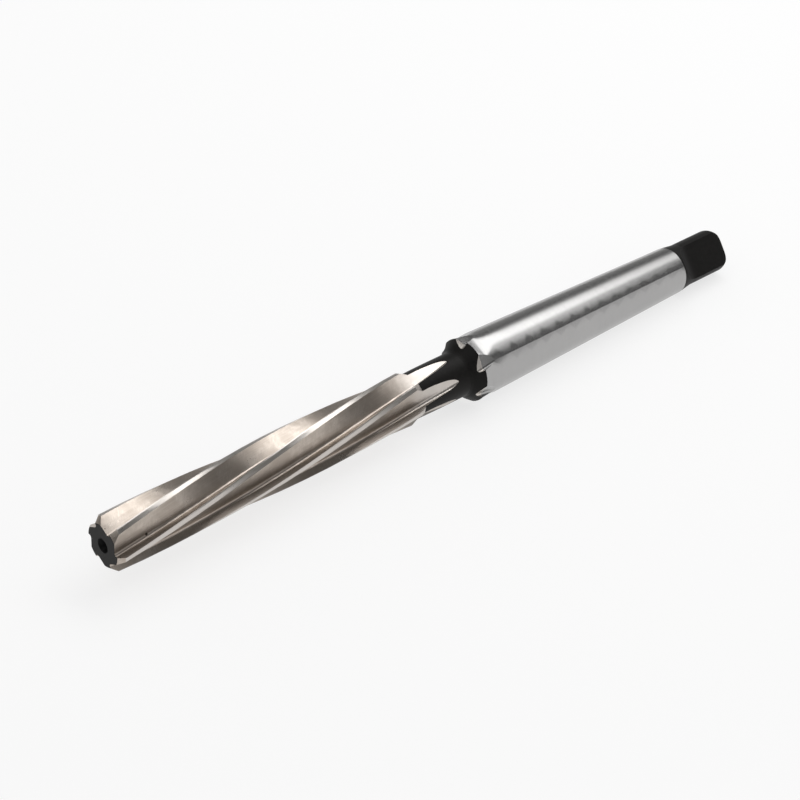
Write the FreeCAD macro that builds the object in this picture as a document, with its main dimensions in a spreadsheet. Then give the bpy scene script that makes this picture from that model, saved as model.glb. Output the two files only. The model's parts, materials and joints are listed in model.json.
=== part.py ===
import FreeCAD, Part
import Sketcher
import math
import os

from FreeCAD import Placement, Rotation, Vector

# A machine reamer with a helical fluted body, a plain neck and a self-holding taper
# shank that ends in a flat tang. It is ground from one round blank, so it is one body.
#
# Body frame: X runs along the tool's axis from the front face, x = 0, to the end of
# the tang. The flats of the tang face +Z and -Z. The placement at the end lays the
# tool down as it rests on a table, with the origin below the middle of its box.

NODE = "machine_reamer"

# Driving dimensions, in millimetres, degrees and plain counts.
DRIVING = {
    # cutting part
    "cutting_dia": 10.0,
    "lead_length": 1.2,
    "lead_depth": 1.05,
    "cutting_length": 65.5,
    "back_chamfer_length": 1.5,
    # neck and collar; the neck is turned a little below the cutting part
    "neck_drop": 0.7,
    "neck_length": 11.4,
    "neck_fillet": 1.0,
    "collar_dia": 12.2,
    "collar_chamfer_length": 2.1,
    # taper shank; the rate is the drop of diameter over each millimetre
    "taper_length": 55.5,
    "taper_rate": 0.04988,
    # tang, turned a little below the small end of the taper
    "tang_drop": 0.42,
    "tang_length": 15.5,
    "tang_step_length": 3.2,
    "tang_shoulder": 0.3,
    "tang_thickness": 5.2,
    "tang_corner_radius": 1.6,
    "tang_cutter_radius": 5.0,
    # flutes; their wheel starts to lift out before the cutting edges end
    "tooth_count": 6,
    "first_tooth_angle": 8.0,
    "helix_lead": 194.0,
    "flute_depth": 1.75,
    "root_radius": 0.5,
    "land_angle": 11.0,
    "land_relief": 0.12,
    "margin_angle": 2.3,
    "wheel_radius": 70.0,
    "wheel_lift_lead": 2.0,
    # centre holes in both ends
    "centre_dia": 2.7,
    "centre_angle": 60.0,
    "pilot_dia": 1.25,
    "pilot_depth": 3.2,
    "drill_point_angle": 120.0,
}

# Room between a cutter and the stock it has already left, and past the front face.
CUTTER_CLEARANCE = 1.0
FLUTE_OVERRUN = 3.0
FLUTE_SECTIONS = 24

# The angle the lying tool has turned through from its tang's flats facing up, in degrees.
REST_ROLL = 55.4

# Sizes that follow from the driving ones, worked out in the sheet.
DERIVED = {
    "cut_rad": "cutting_dia / 2",
    "face_rad": "cut_rad - lead_depth",
    "back_station": "cutting_length + back_chamfer_length",
    "neck_rad": "cut_rad - neck_drop",
    "neck_station": "back_station + neck_length",
    "collar_rad": "collar_dia / 2",
    "collar_station": "neck_station + collar_chamfer_length",
    "small_rad": "collar_rad - taper_rate * taper_length / 2",
    "small_station": "collar_station + taper_length",
    "tang_rad": "small_rad - tang_drop",
    "tang_station": "small_station + tang_step_length",
    "end_station": "small_station + tang_length",
    "tang_half": "tang_thickness / 2",
    "tang_cut": "small_rad - tang_half",
    "tang_run": "sqrt(2 * tang_cutter_radius * tang_cut - tang_cut ^ 2)",
    "flat_station": "small_station + tang_shoulder + tang_run",
    "flat_clear_station": f"end_station + {CUTTER_CLEARANCE}",
    "flat_clear_rad": f"small_rad + {CUTTER_CLEARANCE}",
    "core_rad": "cut_rad - flute_depth",
    "root_centre_rad": "core_rad + root_radius",
    "heel_rad": "cut_rad - land_relief",
    "tool_rad": f"collar_rad + {CUTTER_CLEARANCE}",
    "tooth_pitch": "360 / tooth_count",
    "heel_angle": "land_angle - tooth_pitch",
    "edge_angle": "margin_angle - tooth_pitch",
    "clear_angle": "margin_angle / 2 - tooth_pitch",
    "lift_station": "cutting_length - wheel_lift_lead",
    "last_lift": f"collar_rad - core_rad + {CUTTER_CLEARANCE / 2}",
    "last_run": "sqrt(2 * wheel_radius * last_lift - last_lift ^ 2)",
    "centre_rad": "centre_dia / 2",
    "pilot_rad": "pilot_dia / 2",
    "cone_depth": "(centre_rad - pilot_rad) / tan(centre_angle / 2 * 1 deg)",
    "point_depth": "pilot_depth + pilot_rad / tan(drill_point_angle / 2 * 1 deg)",
    "rear_cone": "end_station - cone_depth",
    "rear_pilot": "end_station - pilot_depth",
    "rear_point": "end_station - point_depth",
}

doc = FreeCAD.newDocument("reamer")
sheet = doc.addObject("Spreadsheet::Sheet", "sizes")


def fill_sheet():
    for row, (name, number) in enumerate(DRIVING.items(), start=1):
        sheet.set(f"A{row}", name)
        sheet.set(f"B{row}", str(number))
        sheet.setAlias(f"B{row}", name)
    for row, (name, formula) in enumerate(DERIVED.items(), start=1):
        sheet.set(f"D{row}", name)
        sheet.set(f"E{row}", f"={formula}")
        sheet.setAlias(f"E{row}", name)
    doc.recompute()


def size(name):
    return float(getattr(sheet, name))


def origin_feature(body, role):
    return next(item for item in body.Origin.OriginFeatures if item.Role == role)


def new_sketch(body, name, plane="XZ_Plane"):
    sketch = body.newObject("Sketcher::SketchObject", name)
    sketch.AttachmentSupport = [(origin_feature(body, plane), "")]
    sketch.MapMode = "FlatFace"
    return sketch


ORIGIN = (-1, 1)
X_AXIS = -1
Y_AXIS = -2


def bind(sketch, constraint, formula):
    index = sketch.addConstraint(constraint)
    sketch.setExpression(f"Constraints[{index}]", formula)


def pin(sketch, point, across, height):
    """Places a sketch point by two sizes in the sheet; None holds it on that axis."""
    for kind, axis, name in (("DistanceX", Y_AXIS, across), ("DistanceY", X_AXIS, height)):
        if name is None:
            sketch.addConstraint(Sketcher.Constraint("PointOnObject", *point, axis))
        else:
            distance = Sketcher.Constraint(kind, *ORIGIN, *point, size(name))
            bind(sketch, distance, f"sizes.{name}")


def numbers(across, height):
    return Vector(size(across) if across else 0.0, size(height) if height else 0.0, 0)


def add_polygon(sketch, corners):
    """A closed polygon whose corners are pairs of names in the sheet."""
    places = [numbers(*corner) for corner in corners]
    lines = []
    for start, end in zip(places, places[1:] + places[:1]):
        lines.append(sketch.addGeometry(Part.LineSegment(start, end), False))
    for here, after in zip(lines, lines[1:] + lines[:1]):
        sketch.addConstraint(Sketcher.Constraint("Coincident", here, 2, after, 1))
    for line, corner in zip(lines, corners):
        pin(sketch, (line, 1), *corner)
    return lines


def circle_edges(shape, station, radius):
    """Names of the round edges about the axis at a station of the blank."""
    found = []
    for index, edge in enumerate(shape.Edges, start=1):
        curve = edge.Curve
        if not isinstance(curve, Part.Circle):
            continue
        if abs(curve.Center.x - station) < 1e-6 and abs(curve.Radius - radius) < 1e-6:
            found.append(f"Edge{index}")
    return found


def add_fillet(body, base, name, station, radius, formula):
    fillet = body.newObject("PartDesign::Fillet", name)
    fillet.Base = (base, circle_edges(base.Shape, size(station), size(radius)))
    fillet.setExpression("Radius", formula)
    doc.recompute()
    return fillet


def turn_blank(body):
    """The turned and ground blank, with no flutes, flats or centres."""
    sketch = new_sketch(body, "blank_profile")
    add_polygon(sketch, [
        (None, None),
        (None, "face_rad"),
        ("lead_length", "cut_rad"),
        ("cutting_length", "cut_rad"),
        ("back_station", "neck_rad"),
        ("neck_station", "neck_rad"),
        ("collar_station", "collar_rad"),
        ("small_station", "small_rad"),
        ("tang_station", "tang_rad"),
        ("end_station", "tang_rad"),
        ("end_station", None),
    ])
    blank = body.newObject("PartDesign::Revolution", "blank")
    blank.Profile = sketch
    blank.ReferenceAxis = (origin_feature(body, "X_Axis"), [""])
    blank.Angle = 360
    doc.recompute()
    necked = add_fillet(body, blank, "neck_corner", "neck_station", "neck_rad",
                        "sizes.neck_fillet")
    return add_fillet(body, necked, "tang_corner", "end_station", "tang_rad",
                      "sizes.tang_corner_radius")


def polar(radius, degrees):
    angle = math.radians(degrees)
    return Vector(radius * math.cos(angle), radius * math.sin(angle), 0)


def draw_flute(sketch):
    """The gap between two teeth, in a plane across the axis.

    The sketch's X axis is the radial cutting face of one tooth. The gap lies below it:
    a rounded root, a straight back, and the relieved land of the tooth before. A narrow
    margin of that tooth is left on the full diameter.
    """
    centre = Vector(size("root_centre_rad"), -size("root_radius"), 0)
    root_low = centre + Vector(-0.3, -0.4, 0) * size("root_radius") * 2
    heel = polar(size("heel_rad"), size("heel_angle"))
    margin = polar(size("cut_rad"), size("edge_angle"))
    clear = polar(size("cut_rad"), size("clear_angle"))
    outer = polar(size("tool_rad"), size("clear_angle"))
    top = Vector(size("tool_rad"), 0, 0)
    zero = Vector(0, 0, 0)
    root_circle = Part.Circle(centre, Vector(0, 0, 1), size("root_radius"))
    low_angle = math.atan2(root_low.y - centre.y, root_low.x - centre.x) + 2 * math.pi

    def line(start, end, construction=False):
        return sketch.addGeometry(Part.LineSegment(start, end), construction)

    face = line(top, Vector(centre.x, 0, 0))
    root = sketch.addGeometry(Part.ArcOfCircle(root_circle, math.pi / 2, low_angle), False)
    back = line(root_low, heel)
    land = line(heel, clear)
    side = line(clear, outer)
    roof = line(outer, top)
    heel_ray = line(zero, heel, True)
    margin_ray = line(zero, margin, True)
    clear_ray = line(zero, outer, True)

    rule = Sketcher.Constraint
    for constraint in (
        rule("PointOnObject", face, 1, X_AXIS),
        rule("PointOnObject", face, 2, X_AXIS),
        rule("Tangent", face, 2, root, 1),
        rule("Tangent", root, 2, back, 1),
        rule("Coincident", back, 2, land, 1),
        rule("Coincident", land, 2, side, 1),
        rule("Coincident", side, 2, roof, 1),
        rule("Coincident", roof, 2, face, 1),
        rule("Coincident", heel_ray, 1, *ORIGIN),
        rule("Coincident", heel_ray, 2, back, 2),
        rule("Coincident", margin_ray, 1, *ORIGIN),
        rule("PointOnObject", margin_ray, 2, land),
        rule("Coincident", clear_ray, 1, *ORIGIN),
        rule("Coincident", clear_ray, 2, side, 2),
        rule("PointOnObject", side, 1, clear_ray),
    ):
        sketch.addConstraint(constraint)
    bind(sketch, rule("Radius", root, size("root_radius")), "sizes.root_radius")
    for point, radius in (
        ((root, 3), "root_centre_rad"),
        ((heel_ray, 2), "heel_rad"),
        ((margin_ray, 2), "cut_rad"),
        ((side, 2), "tool_rad"),
        ((face, 1), "tool_rad"),
    ):
        bind(sketch, rule("Distance", *ORIGIN, *point, size(radius)), f"sizes.{radius}")
    for ray, angle in ((heel_ray, "heel_angle"), (margin_ray, "edge_angle"),
                       (clear_ray, "clear_angle")):
        bind(sketch, rule("Angle", ray, math.radians(size(angle))), f"sizes.{angle} * 1 deg")


def place_section(index):
    """Writes where a flute section lies: its station, how far out and how far round."""
    row = index + 1
    reach = f"(lift_station + last_run + {FLUTE_OVERRUN})"
    past = f"max(0; station_{index} - lift_station)"
    cells = {
        "G": ("station", f"{reach} * {index} / {FLUTE_SECTIONS - 1} - {FLUTE_OVERRUN}"),
        "H": ("lift", f"wheel_radius - sqrt(wheel_radius ^ 2 - {past} ^ 2)"),
        "I": ("turn", f"first_tooth_angle - 360 * station_{index} / helix_lead"),
    }
    for column, (name, formula) in cells.items():
        sheet.set(f"{column}{row}", f"={formula}")
        sheet.setAlias(f"{column}{row}", f"{name}_{index}")
        sheet.recompute()


def flute_section(body, index):
    sketch = new_sketch(body, f"flute_{index}", "YZ_Plane")
    draw_flute(sketch)
    angle = f"sizes.turn_{index} * 1 deg"
    sketch.setExpression("AttachmentOffset.Base.x", f"sizes.lift_{index} * cos({angle})")
    sketch.setExpression("AttachmentOffset.Base.y", f"sizes.lift_{index} * sin({angle})")
    sketch.setExpression("AttachmentOffset.Base.z", f"sizes.station_{index}")
    sketch.AttachmentOffset = Placement(Vector(), Rotation(Vector(0, 0, 1), 1))
    sketch.setExpression("AttachmentOffset.Rotation.Angle", angle)
    return sketch


def shape_cutter():
    """The stock that the wheel takes out of one flute, as a body of its own."""
    body = doc.addObject("PartDesign::Body", "flute_cutter")
    sections = [flute_section(body, index) for index in range(FLUTE_SECTIONS)]
    doc.recompute()
    flute = body.newObject("PartDesign::AdditiveLoft", "flute")
    flute.Profile = sections[0]
    flute.Sections = sections[1:]
    doc.recompute()
    return body


def grind_flutes(blank):
    """Cuts the flutes, one for each tooth, full depth and then out along the wheel."""
    cutter = shape_cutter()
    cuts = []
    for tooth in range(int(size("tooth_count"))):
        cut = doc.addObject("App::Link", f"flute_cut_{tooth}")
        cut.LinkedObject = cutter
        cut.Placement = Placement(Vector(), Rotation(Vector(1, 0, 0), tooth * size("tooth_pitch")))
        cuts.append(cut)
    flutes = doc.addObject("Part::Compound", "flutes")
    flutes.Links = cuts
    reamer = doc.addObject("Part::Cut", NODE)
    reamer.Base = blank
    reamer.Tool = flutes
    reamer.Label = NODE
    doc.recompute()
    return reamer


def mill_tang(body):
    """Two flats across the end of the shank, with the cutter's round where they start."""
    sketch = new_sketch(body, "tang_flat")
    radius, half = size("tang_cutter_radius"), size("tang_half")
    start, end = size("flat_station"), size("flat_clear_station")
    height = size("flat_clear_rad")
    run = math.sqrt(radius ** 2 - (radius + half - height) ** 2)
    centre = Vector(start, half + radius, 0)
    lead_in = math.atan2(height - centre.y, -run) % (2 * math.pi)
    circle = Part.Circle(centre, Vector(0, 0, 1), radius)
    arc = sketch.addGeometry(Part.ArcOfCircle(circle, lead_in, 1.5 * math.pi), False)
    corners = [Vector(start, half, 0), Vector(end, half, 0), Vector(end, height, 0),
               Vector(start - run, height, 0)]
    floor, side, roof = (sketch.addGeometry(Part.LineSegment(*pair), False)
                         for pair in zip(corners, corners[1:]))
    rule = Sketcher.Constraint
    for constraint in (
        rule("Tangent", arc, 2, floor, 1),
        rule("Coincident", floor, 2, side, 1),
        rule("Coincident", side, 2, roof, 1),
        rule("Coincident", roof, 2, arc, 1),
        rule("Horizontal", floor),
        rule("Vertical", side),
        rule("Horizontal", roof),
    ):
        sketch.addConstraint(constraint)
    bind(sketch, rule("Radius", arc, radius), "sizes.tang_cutter_radius")
    pin(sketch, (floor, 1), "flat_station", "tang_half")
    pin(sketch, (roof, 1), "flat_clear_station", "flat_clear_rad")
    flat = body.newObject("PartDesign::Pocket", "flat")
    flat.Profile = sketch
    flat.Midplane = True
    flat.setExpression("Length", "sizes.collar_dia")
    doc.recompute()
    flats = body.newObject("PartDesign::PolarPattern", "flats")
    flats.Originals = [flat]
    flats.Axis = (origin_feature(body, "X_Axis"), [""])
    flats.Angle = 360
    flats.Occurrences = 2
    body.Tip = flats
    doc.recompute()
    return flats


def drill_centre(body, name, face, cone, pilot, point):
    """A centre hole in an end face: a seat for the lathe's centre and a pilot behind."""
    sketch = new_sketch(body, f"{name}_profile")
    add_polygon(sketch, [(face, None), (face, "centre_rad"), (cone, "pilot_rad"),
                         (pilot, "pilot_rad"), (point, None)])
    hole = body.newObject("PartDesign::Groove", name)
    hole.Profile = sketch
    hole.ReferenceAxis = (origin_feature(body, "X_Axis"), [""])
    hole.Angle = 360
    body.Tip = hole
    doc.recompute()
    return hole


def make_reamer():
    body = doc.addObject("PartDesign::Body", "blank_body")
    steps = [turn_blank(body), mill_tang(body)]
    steps.append(drill_centre(body, "front_centre", None, "cone_depth", "pilot_depth",
                              "point_depth"))
    steps.append(drill_centre(body, "rear_centre", "end_station", "rear_cone", "rear_pilot",
                              "rear_point"))
    steps.append(grind_flutes(body))
    for before, after in zip(steps, steps[1:]):
        if after.Shape.Volume >= before.Shape.Volume:
            raise RuntimeError(f"{after.Name} removed nothing")
    return steps[-1]


def lay_down(tool):
    """Lays the tool on its taper: it balances just behind the collar, its front end clear."""
    tilt = math.degrees(math.atan(size("taper_rate") / 2))
    rolled = Rotation(Vector(1, 0, 0), REST_ROLL)
    tilted = Rotation(Vector(0, 1, 0), tilt)
    tool.Placement = Placement(Vector(), tilted.multiply(rolled))
    box = tool.Shape.optimalBoundingBox(False)
    tool.Placement.Base = Vector(-box.Center.x, -box.Center.y, -box.ZMin)


def check():
    for item in doc.Objects:
        if "Invalid" in item.State or "Error" in item.State:
            raise RuntimeError(f"{item.Label} failed: {item.State}")
    if reamer.Shape.isNull() or not reamer.Shape.isValid():
        raise RuntimeError(f"{reamer.Label} has no valid shape")


fill_sheet()
for number in range(FLUTE_SECTIONS):
    place_section(number)
doc.recompute()
reamer = make_reamer()
lay_down(reamer)
check()
os.makedirs("parts", exist_ok=True)
reamer.Shape.exportStep(os.path.join("parts", f"{reamer.Label}.step"))
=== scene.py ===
"""Looks of a machine reamer: ground taper shank, blackened neck and tang, ground flutes."""
import json
import math

import bpy
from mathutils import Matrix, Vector

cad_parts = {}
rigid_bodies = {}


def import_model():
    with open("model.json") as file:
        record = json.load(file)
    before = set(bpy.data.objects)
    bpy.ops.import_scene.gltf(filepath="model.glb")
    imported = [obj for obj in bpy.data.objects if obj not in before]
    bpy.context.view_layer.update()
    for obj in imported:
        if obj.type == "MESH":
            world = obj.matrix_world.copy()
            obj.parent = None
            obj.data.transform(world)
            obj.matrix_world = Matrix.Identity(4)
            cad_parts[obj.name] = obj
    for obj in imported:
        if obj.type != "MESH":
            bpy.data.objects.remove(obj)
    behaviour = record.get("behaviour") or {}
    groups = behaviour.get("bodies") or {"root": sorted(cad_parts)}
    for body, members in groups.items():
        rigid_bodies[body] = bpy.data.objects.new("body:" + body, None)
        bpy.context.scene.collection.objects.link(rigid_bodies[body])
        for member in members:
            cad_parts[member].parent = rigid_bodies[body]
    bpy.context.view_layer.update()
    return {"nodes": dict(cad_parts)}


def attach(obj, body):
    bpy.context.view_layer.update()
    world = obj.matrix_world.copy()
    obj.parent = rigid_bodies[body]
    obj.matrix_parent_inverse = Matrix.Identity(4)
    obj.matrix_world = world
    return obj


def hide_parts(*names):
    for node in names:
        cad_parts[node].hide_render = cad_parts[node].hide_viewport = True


for leftover in list(bpy.data.objects):
    bpy.data.objects.remove(leftover)

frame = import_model()
reamer = frame["nodes"]["machine_reamer"]

MM = 0.001

# How the tool's own axis lies in the frame: its collar's edge in metres, its tilt and its roll.
COLLAR_CENTRE = (0.0047639, 0.0, 0.0060981)
REST_TILT = math.atan(0.04988 / 2)
REST_ROLL = math.radians(55.4)

# Stations along the tool in millimetres, counted from the collar's edge towards the tang.
FRONT_FACE = -80.5
HOLE_END = -73.3
TEETH_END = -15.0
NECK_START = -13.5
COLLAR_START = -2.1
TAPER_END = 55.5

# The teeth, in millimetres and degrees.
TOOTH_COUNT = 6
TOOTH_RADIUS = 5.0
FIRST_TOOTH = 8.0
HELIX_LEAD = 194.0

# Other radii, in millimetres.
NECK_RADIUS = 4.3
COLLAR_RADIUS = 6.1
HOLE_RADIUS = 1.45

# How deep a finish still counts as uncut skin and as front face, in millimetres.
SKIN_DEPTH = 0.05
FACE_DEPTH = 0.03

# The bright land covers all down to the first depth below the teeth's radius and fades out by the second.
LAND_DEPTHS = (0.10, 0.16)

# The flutes brighten from the first station to the second, where they run out over the neck.
RUN_OUT_FADE = (TEETH_END - 4.0, NECK_START + 2.0)
RUN_OUT_SHARE = 0.8

# What lies past this station moves in by the excess; the flats are plain there, so only the length changes.
TANG_FLATS_FROM = 62.0
TANG_EXCESS = 1.85

# Dark pits near the cutting end: where they lie in the tool's own axes, and their size, in millimetres.
PITS = (
    ((-74.04, -0.97, 3.10), 0.30),
    ((-80.13, 2.67, 2.37), 0.13),
    ((-80.03, -2.53, 3.36), 0.16),
)
PIT_EDGE = 0.16
PIT_RAGGEDNESS = 0.25

# Colours of the finishes, from darker to lighter where there are two.
SHANK_STEEL = ((0.365, 0.362, 0.36, 1), (0.435, 0.43, 0.424, 1))
FLUTE_STEEL = ((0.33, 0.28, 0.238, 1), (0.44, 0.385, 0.335, 1))
WHEEL_MARKS = (0.56, 0.50, 0.445, 1)
LAND_STEEL = (0.60, 0.565, 0.53, 1)
PIT_BROWN = (0.03, 0.022, 0.016, 1)
BLACK_SKIN = ((0.006, 0.0058, 0.0055, 1), (0.018, 0.0168, 0.0155, 1))
HOLE_BLACK = (0.004, 0.004, 0.004, 1)

# Roughness of the finishes, from where a finish is unmarked or dark to where it is marked or light.
TEETH_ROUGH = (0.38, 0.26)
SHANK_ROUGH = (0.275, 0.245)
SKIN_ROUGH = (0.44, 0.56)
SKIN_METAL = 0.1

# How much each kind of mark counts in a finish's colour.
RING_SHARE = 0.35
CLOUD_SHARE = 0.6
CHATTER_SHARE = 0.65
STROKE_SHARE = 0.35
GRAIN_SHARE = 0.2

# How high each kind of mark stands, as a share of the height of the chatter in millimetres.
RING_RELIEF = 0.08
STROKE_RELIEF = 0.6
MOTTLE_RELIEF = 0.5
CHATTER_HEIGHT = 0.02

# The studio, in metres and degrees; a wing's span is its turn round the tool, from straight up towards -Y.
FLOOR_HALF = 3.0
FLOOR_GREY = (0.30, 0.30, 0.30, 1)
FLOOR_WHITE = 0.72
WING_SPANS = ((-88.0, -27.0), (13.0, 84.0))
WING_REACH = 0.5
WING_HALF_LENGTH = 1.6
WING_STEPS = 24
WING_FADE_HEIGHTS = (0.10, 0.38)
WING_GLOW = (0.34, 0.10)
WORLD_LIGHT = 0.55
WORLD_WHITE = 1.0
SOFTBOX_POWER = 1.3
SOFTBOX_SIZE = (0.8, 0.26)
SOFTBOX_PLACE = (0.33, 0.05, 0.48)
CAMERA_PLACE = (-0.22060, -0.23215, 0.22313)
CAMERA_AIM = (0.550993, 0.610485, -0.568959)
CAMERA_LENS_MM = 95.88


# ---------------------------------------------------------------- node helpers

def wire(tree, value, target):
    """Joins a socket to an input, or sets the input to a plain value."""
    if isinstance(value, bpy.types.NodeSocket):
        tree.links.new(value, target)
    else:
        target.default_value = value


def calc(tree, operation, *values):
    node = tree.nodes.new("ShaderNodeMath")
    node.operation = operation
    for target, value in zip(node.inputs, values):
        wire(tree, value, target)
    return node.outputs[0]


def largest(tree, first, *others):
    for other in others:
        first = calc(tree, "MAXIMUM", first, other)
    return first


def ramp_between(tree, value, low, high, out_low=0.0, out_high=1.0):
    """Goes smoothly from out_low to out_high as value goes from low to high."""
    node = tree.nodes.new("ShaderNodeMapRange")
    node.interpolation_type = "SMOOTHSTEP"
    for name, setting in (
        ("Value", value), ("From Min", low), ("From Max", high),
        ("To Min", out_low), ("To Max", out_high),
    ):
        wire(tree, setting, node.inputs[name])
    return node.outputs[0]


def mix(tree, kind, factor, first, second):
    node = tree.nodes.new("ShaderNodeMix")
    node.data_type = kind
    wire(tree, factor, node.inputs["Factor"])
    wire(tree, first, node.inputs["A"])
    wire(tree, second, node.inputs["B"])
    return node.outputs["Result"]


def blend(tree, factor, first, second):
    """Goes from the first colour to the second as factor goes from 0 to 1."""
    return mix(tree, "RGBA", factor, first, second)


def blend_value(tree, factor, first, second):
    """Goes from the first value to the second as factor goes from 0 to 1."""
    return mix(tree, "FLOAT", factor, first, second)


def noise(tree, vector, scale, detail, roughness):
    node = tree.nodes.new("ShaderNodeTexNoise")
    wire(tree, vector, node.inputs["Vector"])
    wire(tree, scale, node.inputs["Scale"])
    wire(tree, detail, node.inputs["Detail"])
    wire(tree, roughness, node.inputs["Roughness"])
    return node.outputs["Fac"]


def combine(tree, x, y, z):
    node = tree.nodes.new("ShaderNodeCombineXYZ")
    for target, value in zip(node.inputs, (x, y, z)):
        wire(tree, value, target)
    return node.outputs[0]


def new_group(name, inputs, outputs):
    """An empty node group with named inputs and outputs; returns it and its two end nodes."""
    tree = bpy.data.node_groups.new(name, "ShaderNodeTree")
    for socket, kind, default in inputs:
        made = tree.interface.new_socket(name=socket, in_out="INPUT", socket_type=kind)
        if default is not None:
            made.default_value = default
    for socket, kind in outputs:
        tree.interface.new_socket(name=socket, in_out="OUTPUT", socket_type=kind)
    return tree, tree.nodes.new("NodeGroupInput"), tree.nodes.new("NodeGroupOutput")


def use_group(tree, group, **values):
    """Places a group; its inputs are given by their names with _ for each space."""
    node = tree.nodes.new("ShaderNodeGroup")
    node.node_tree = group
    for name, value in values.items():
        wire(tree, value, node.inputs[name.replace("_", " ")])
    return node.outputs


def new_material(name):
    material = bpy.data.materials.new(name)
    material.use_nodes = True
    return material, material.node_tree


def new_object(name, data):
    made = bpy.data.objects.new(name, data)
    bpy.context.collection.objects.link(made)
    return made


# ---------------------------------------------------------------- shared effects

def tool_place_group():
    """Where a point is on the tool: along it, out from its axis, round it, and in which flute."""
    tree, given, out = new_group(
        "tool_place",
        [("Vector", "NodeSocketVector", None)],
        [("Place", "NodeSocketVector"), ("Along", "NodeSocketFloat"), ("Radius", "NodeSocketFloat"),
         ("Angle", "NodeSocketFloat"), ("Flute", "NodeSocketFloat")],
    )
    turn = tree.nodes.new("ShaderNodeMapping")
    turn.vector_type = "TEXTURE"
    turn.inputs["Location"].default_value = COLLAR_CENTRE
    turn.inputs["Rotation"].default_value = (REST_ROLL, REST_TILT, 0.0)
    turn.inputs["Scale"].default_value = (MM, MM, MM)
    tree.links.new(given.outputs["Vector"], turn.inputs["Vector"])
    split = tree.nodes.new("ShaderNodeSeparateXYZ")
    tree.links.new(turn.outputs[0], split.inputs[0])
    x, y, z = split.outputs
    radius_squared = calc(tree, "ADD", calc(tree, "MULTIPLY", y, y), calc(tree, "MULTIPLY", z, z))
    radius = calc(tree, "SQRT", radius_squared)
    angle = calc(tree, "DEGREES", calc(tree, "ARCTAN2", z, y))
    edge_at_collar = FIRST_TOOTH + 360 * FRONT_FACE / HELIX_LEAD
    edge_turn = calc(tree, "MULTIPLY_ADD", x, -360 / HELIX_LEAD, edge_at_collar)
    behind_edge = calc(tree, "SUBTRACT", angle, edge_turn)
    flute = calc(tree, "FRACT", calc(tree, "MULTIPLY", behind_edge, TOOTH_COUNT / 360))
    for name, value in (
        ("Place", turn.outputs[0]), ("Along", x), ("Radius", radius), ("Angle", angle), ("Flute", flute),
    ):
        tree.links.new(value, out.inputs[name])
    return tree


def fine_lines_group():
    """Fine lines left by a wheel: noise drawn out along one direction, from 0 to 1."""
    tree, given, out = new_group(
        "fine_lines",
        [("Across", "NodeSocketFloat", 0.0), ("Along", "NodeSocketFloat", 0.0),
         ("Lines per mm", "NodeSocketFloat", 8.0), ("Length in mm", "NodeSocketFloat", 6.0)],
        [("Mask", "NodeSocketFloat")],
    )
    across = calc(tree, "MULTIPLY", given.outputs["Across"], given.outputs["Lines per mm"])
    along = calc(tree, "DIVIDE", given.outputs["Along"], given.outputs["Length in mm"])
    mask = noise(tree, combine(tree, across, along, 0.0), scale=1.0, detail=3.0, roughness=0.6)
    tree.links.new(ramp_between(tree, mask, 0.25, 0.75), out.inputs["Mask"])
    return tree


# ---------------------------------------------------------------- the tool's steel

def black_skin(tree, along, radius):
    """Where the skin is black: on the neck and the collar's bevel where no flute has cut, on all of
    the tang, on the front face and in its hole. Also returns the hole by itself."""
    bevel_slope = (COLLAR_RADIUS - NECK_RADIUS) / -COLLAR_START
    bevel_line = calc(tree, "MULTIPLY_ADD", along, bevel_slope, COLLAR_RADIUS)
    skin_line = calc(tree, "SUBTRACT", largest(tree, bevel_line, NECK_RADIUS), SKIN_DEPTH)
    uncut = calc(tree, "GREATER_THAN", radius, skin_line)
    past_teeth = calc(tree, "GREATER_THAN", along, NECK_START)
    before_taper = calc(tree, "LESS_THAN", along, 0.0)
    neck = calc(tree, "MULTIPLY", uncut, calc(tree, "MULTIPLY", past_teeth, before_taper))
    tang = calc(tree, "GREATER_THAN", along, TAPER_END)
    front = calc(tree, "LESS_THAN", along, FRONT_FACE + FACE_DEPTH)
    near_axis = calc(tree, "LESS_THAN", radius, HOLE_RADIUS)
    hole = calc(tree, "MULTIPLY", near_axis, calc(tree, "LESS_THAN", along, HOLE_END))
    return largest(tree, neck, tang, front, hole), hole


def ground_shank(tree, lines, place):
    """Cool steel with very fine rings; returns its colour and the rings."""
    arc = calc(tree, "MULTIPLY", place["Angle"], math.pi * TOOTH_RADIUS / 180)
    rings = use_group(
        tree, lines, Across=place["Along"], Along=arc, Lines_per_mm=9.0, Length_in_mm=9.0)["Mask"]
    clouds = noise(tree, place["Place"], scale=0.12, detail=3.0, roughness=0.55)
    shade = calc(tree, "MULTIPLY_ADD", rings, RING_SHARE, calc(tree, "MULTIPLY", clouds, CLOUD_SHARE))
    return blend(tree, shade, *SHANK_STEEL), rings


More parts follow.
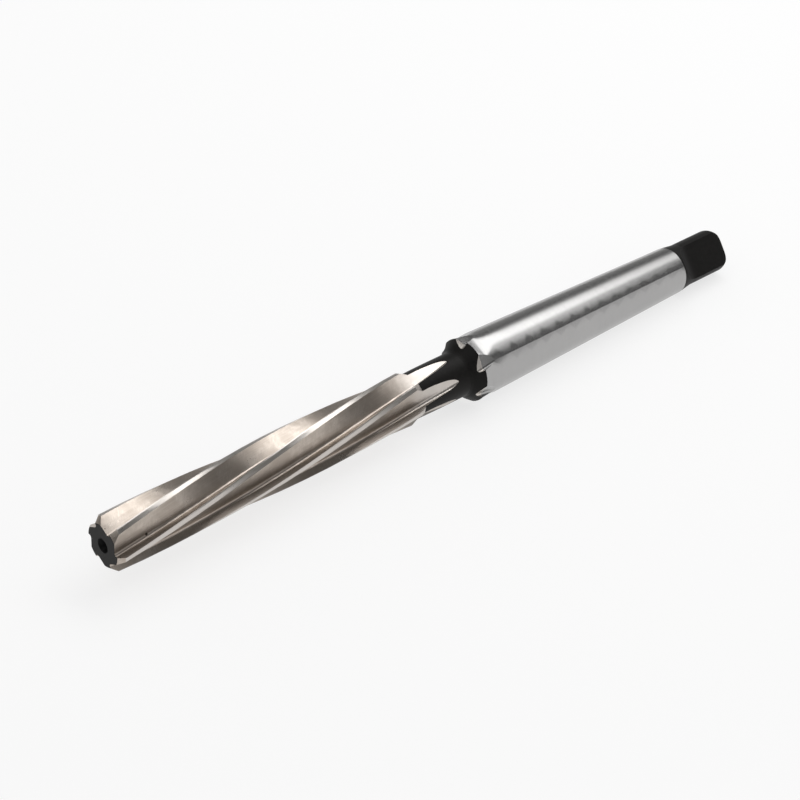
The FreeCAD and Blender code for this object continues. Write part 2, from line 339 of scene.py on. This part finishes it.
def ground_flutes(tree, lines, place, grain):
    """Warm steel, the wheel's strokes along the helix and its chatter across them, with brighter
    lands and run-outs; returns its colour, the wheel's marks and their relief."""
    along = place["Along"]
    helix_arc = calc(tree, "MULTIPLY", place["Flute"], 2 * math.pi * TOOTH_RADIUS / TOOTH_COUNT)
    strokes = use_group(
        tree, lines, Across=helix_arc, Along=along, Lines_per_mm=7.0, Length_in_mm=9.0)["Mask"]
    slanted = calc(tree, "MULTIPLY_ADD", helix_arc, 0.5, along)
    chatter = use_group(
        tree, lines, Across=slanted, Along=helix_arc, Lines_per_mm=4.5, Length_in_mm=1.2)["Mask"]
    patches = noise(tree, place["Place"], scale=0.28, detail=3.0, roughness=0.6)
    chatter_here = ramp_between(tree, patches, 0.42, 0.62)
    fine_marks = calc(
        tree, "MULTIPLY_ADD", strokes, STROKE_SHARE, calc(tree, "MULTIPLY", grain, GRAIN_SHARE))
    chatter_seen = calc(tree, "MULTIPLY", chatter, chatter_here)
    marks = calc(tree, "MULTIPLY_ADD", chatter_seen, CHATTER_SHARE, fine_marks)
    colour = blend(tree, marks, blend(tree, patches, *FLUTE_STEEL), WHEEL_MARKS)

    full_land, no_land = (TOOTH_RADIUS - depth for depth in LAND_DEPTHS)
    on_land = ramp_between(tree, place["Radius"], no_land, full_land)
    run_out = ramp_between(tree, along, *RUN_OUT_FADE)
    bright = largest(tree, on_land, calc(tree, "MULTIPLY", run_out, RUN_OUT_SHARE))
    stroke_relief = calc(tree, "MULTIPLY", strokes, STROKE_RELIEF)
    relief = calc(tree, "MULTIPLY_ADD", chatter, chatter_here, stroke_relief)
    return blend(tree, bright, colour, LAND_STEEL), marks, relief


def pit_marks(tree, place, grain):
    """Small dark pits and a nick near the cutting end."""
    marks = 0.0
    for point, size in PITS:
        reach = tree.nodes.new("ShaderNodeVectorMath")
        reach.operation = "DISTANCE"
        tree.links.new(place["Place"], reach.inputs[0])
        reach.inputs[1].default_value = point
        ragged = calc(tree, "MULTIPLY_ADD", grain, PIT_RAGGEDNESS, reach.outputs["Value"])
        marks = largest(tree, marks, ramp_between(tree, ragged, size, size + PIT_EDGE, 1.0, 0.0))
    return marks


def reamer_steel():
    """One bar of steel: ground flutes and shank, with blackened skin between and behind them."""
    material, tree = new_material("reamer_steel")
    shader = tree.nodes["Principled BSDF"]
    shader.inputs["Specular IOR Level"].default_value = 0.14
    coordinates = tree.nodes.new("ShaderNodeTexCoord")
    place = use_group(tree, tool_place_group(), Vector=coordinates.outputs["Object"])
    lines = fine_lines_group()
    grain = noise(tree, place["Place"], scale=7.0, detail=2.0, roughness=0.7)
    mottle = noise(tree, place["Place"], scale=1.4, detail=4.0, roughness=0.65)

    black, hole = black_skin(tree, place["Along"], place["Radius"])
    on_shank = calc(tree, "GREATER_THAN", place["Along"], 0.0)
    shank_colour, rings = ground_shank(tree, lines, place)
    flute_colour, marks, flute_relief = ground_flutes(tree, lines, place, grain)
    pits = pit_marks(tree, place, grain)

    steel = blend(tree, pits, blend(tree, on_shank, flute_colour, shank_colour), PIT_BROWN)
    skin = blend(tree, hole, blend(tree, mottle, *BLACK_SKIN), HOLE_BLACK)
    wire(tree, blend(tree, black, steel, skin), shader.inputs["Base Color"])

    shank_rough = blend_value(tree, rings, *SHANK_ROUGH)
    steel_rough = blend_value(tree, on_shank, blend_value(tree, marks, *TEETH_ROUGH), shank_rough)
    skin_rough = blend_value(tree, mottle, *SKIN_ROUGH)
    wire(tree, blend_value(tree, black, steel_rough, skin_rough), shader.inputs["Roughness"])
    covered = largest(tree, black, pits)
    wire(tree, calc(tree, "MULTIPLY_ADD", covered, SKIN_METAL - 1.0, 1.0), shader.inputs["Metallic"])

    ring_relief = calc(tree, "MULTIPLY", rings, RING_RELIEF)
    steel_relief = blend_value(tree, on_shank, flute_relief, ring_relief)
    skin_relief = calc(tree, "MULTIPLY", mottle, MOTTLE_RELIEF)
    bump = tree.nodes.new("ShaderNodeBump")
    bump.inputs["Strength"].default_value = 0.35
    bump.inputs["Distance"].default_value = CHATTER_HEIGHT * MM
    wire(tree, blend_value(tree, black, steel_relief, skin_relief), bump.inputs["Height"])
    tree.links.new(bump.outputs["Normal"], shader.inputs["Normal"])
    return material


def whole_tool():
    """The tool as it is shown: the solid's own faces, with the tang drawn in to its true length."""
    mesh = reamer.data.copy()
    collar = Vector(COLLAR_CENTRE)
    axis = Vector((math.cos(REST_TILT), 0.0, -math.sin(REST_TILT)))
    for vertex in mesh.vertices:
        if (vertex.co - collar).dot(axis) > TANG_FLATS_FROM * MM:
            vertex.co -= axis * TANG_EXCESS * MM
    mesh.materials.clear()
    mesh.materials.append(reamer_steel())
    tool = new_object("whole_reamer", mesh)
    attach(tool, "root")
    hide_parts("machine_reamer")


# ---------------------------------------------------------------- studio

def seen_directly(tree):
    """1 for rays from the camera, from mirror-like surfaces and through clear ones, otherwise 0."""
    rays = tree.nodes.new("ShaderNodeLightPath")
    return largest(tree, *(rays.outputs[f"Is {kind} Ray"] for kind in ("Camera", "Glossy", "Transmission")))


def white_behind(tree, shader, white):
    """Adds plain white to what the camera and mirror-like surfaces see of a shader."""
    glow = tree.nodes.new("ShaderNodeEmission")
    wire(tree, calc(tree, "MULTIPLY", seen_directly(tree), white), glow.inputs["Strength"])
    both = tree.nodes.new("ShaderNodeAddShader")
    tree.links.new(shader, both.inputs[0])
    tree.links.new(glow.outputs[0], both.inputs[1])
    return both.outputs[0]


def floor():
    mesh = bpy.data.meshes.new("floor")
    corners = [(x * FLOOR_HALF, y * FLOOR_HALF, 0) for x, y in ((-1, -1), (1, -1), (1, 1), (-1, 1))]
    mesh.from_pydata(corners, [], [(0, 1, 2, 3)])
    material, tree = new_material("white_paper")
    shader = tree.nodes["Principled BSDF"]
    shader.inputs["Base Color"].default_value = FLOOR_GREY
    shader.inputs["Roughness"].default_value = 0.9
    shader.inputs["Specular IOR Level"].default_value = 0.1
    surface = white_behind(tree, shader.outputs[0], FLOOR_WHITE)
    tree.links.new(surface, tree.nodes["Material Output"].inputs["Surface"])
    mesh.materials.append(material)
    new_object("floor", mesh)


def grey_cloth():
    """Glows dark grey, lighter towards the floor, for the wings that the metal reflects."""
    material, tree = new_material("grey_cloth")
    tree.nodes.remove(tree.nodes["Principled BSDF"])
    coordinates = tree.nodes.new("ShaderNodeTexCoord")
    split = tree.nodes.new("ShaderNodeSeparateXYZ")
    tree.links.new(coordinates.outputs["Object"], split.inputs[0])
    glow = tree.nodes.new("ShaderNodeEmission")
    strength = ramp_between(tree, split.outputs["Z"], *WING_FADE_HEIGHTS, *WING_GLOW)
    wire(tree, strength, glow.inputs["Strength"])
    tree.links.new(glow.outputs[0], tree.nodes["Material Output"].inputs["Surface"])
    return material


def dark_wings():
    """Two long curved grey wings, one each side of the tool, that only its bright metal reflects."""
    points, faces = [], []
    for start, end in WING_SPANS:
        first = len(points)
        for i in range(WING_STEPS + 1):
            turn = math.radians(start + (end - start) * i / WING_STEPS)
            for x in (-WING_HALF_LENGTH, WING_HALF_LENGTH):
                points.append((x, -WING_REACH * math.sin(turn), WING_REACH * math.cos(turn)))
        for i in range(WING_STEPS):
            a = first + 2 * i
            faces.append((a, a + 1, a + 3, a + 2))
    mesh = bpy.data.meshes.new("dark_wings")
    mesh.from_pydata(points, [], faces)
    mesh.materials.append(grey_cloth())
    wings = new_object("dark_wings", mesh)
    wings.visible_camera = False
    wings.visible_diffuse = False
    wings.visible_shadow = False
    wings.visible_transmission = False


def studio_light():
    """A world that looks white but lights the tool less, and one large soft lamp."""
    world = bpy.data.worlds.new("studio")
    bpy.context.scene.world = world
    world.use_nodes = True
    tree = world.node_tree
    background = tree.nodes["Background"]
    strength = blend_value(tree, seen_directly(tree), WORLD_LIGHT, WORLD_WHITE)
    wire(tree, strength, background.inputs["Strength"])
    background.inputs["Color"].default_value = (1, 1, 1, 1)
    lamp = bpy.data.lights.new("softbox", "AREA")
    lamp.shape = "RECTANGLE"
    lamp.size, lamp.size_y = SOFTBOX_SIZE
    lamp.energy = SOFTBOX_POWER
    box = new_object("softbox", lamp)
    box.location = SOFTBOX_PLACE
    box.rotation_euler = (-Vector(SOFTBOX_PLACE)).to_track_quat("-Z", "Y").to_euler()


def camera():
    data = bpy.data.cameras.new("camera")
    data.sensor_width = 36.0
    data.lens = CAMERA_LENS_MM
    data.clip_start, data.clip_end = 0.01, 20.0
    eye = new_object("camera", data)
    eye.location = CAMERA_PLACE
    eye.rotation_euler = Vector(CAMERA_AIM).to_track_quat("-Z", "Y").to_euler()
    bpy.context.scene.camera = eye


whole_tool()
floor()
dark_wings()
studio_light()
camera()
bpy.context.scene.view_settings.view_transform = "Standard"
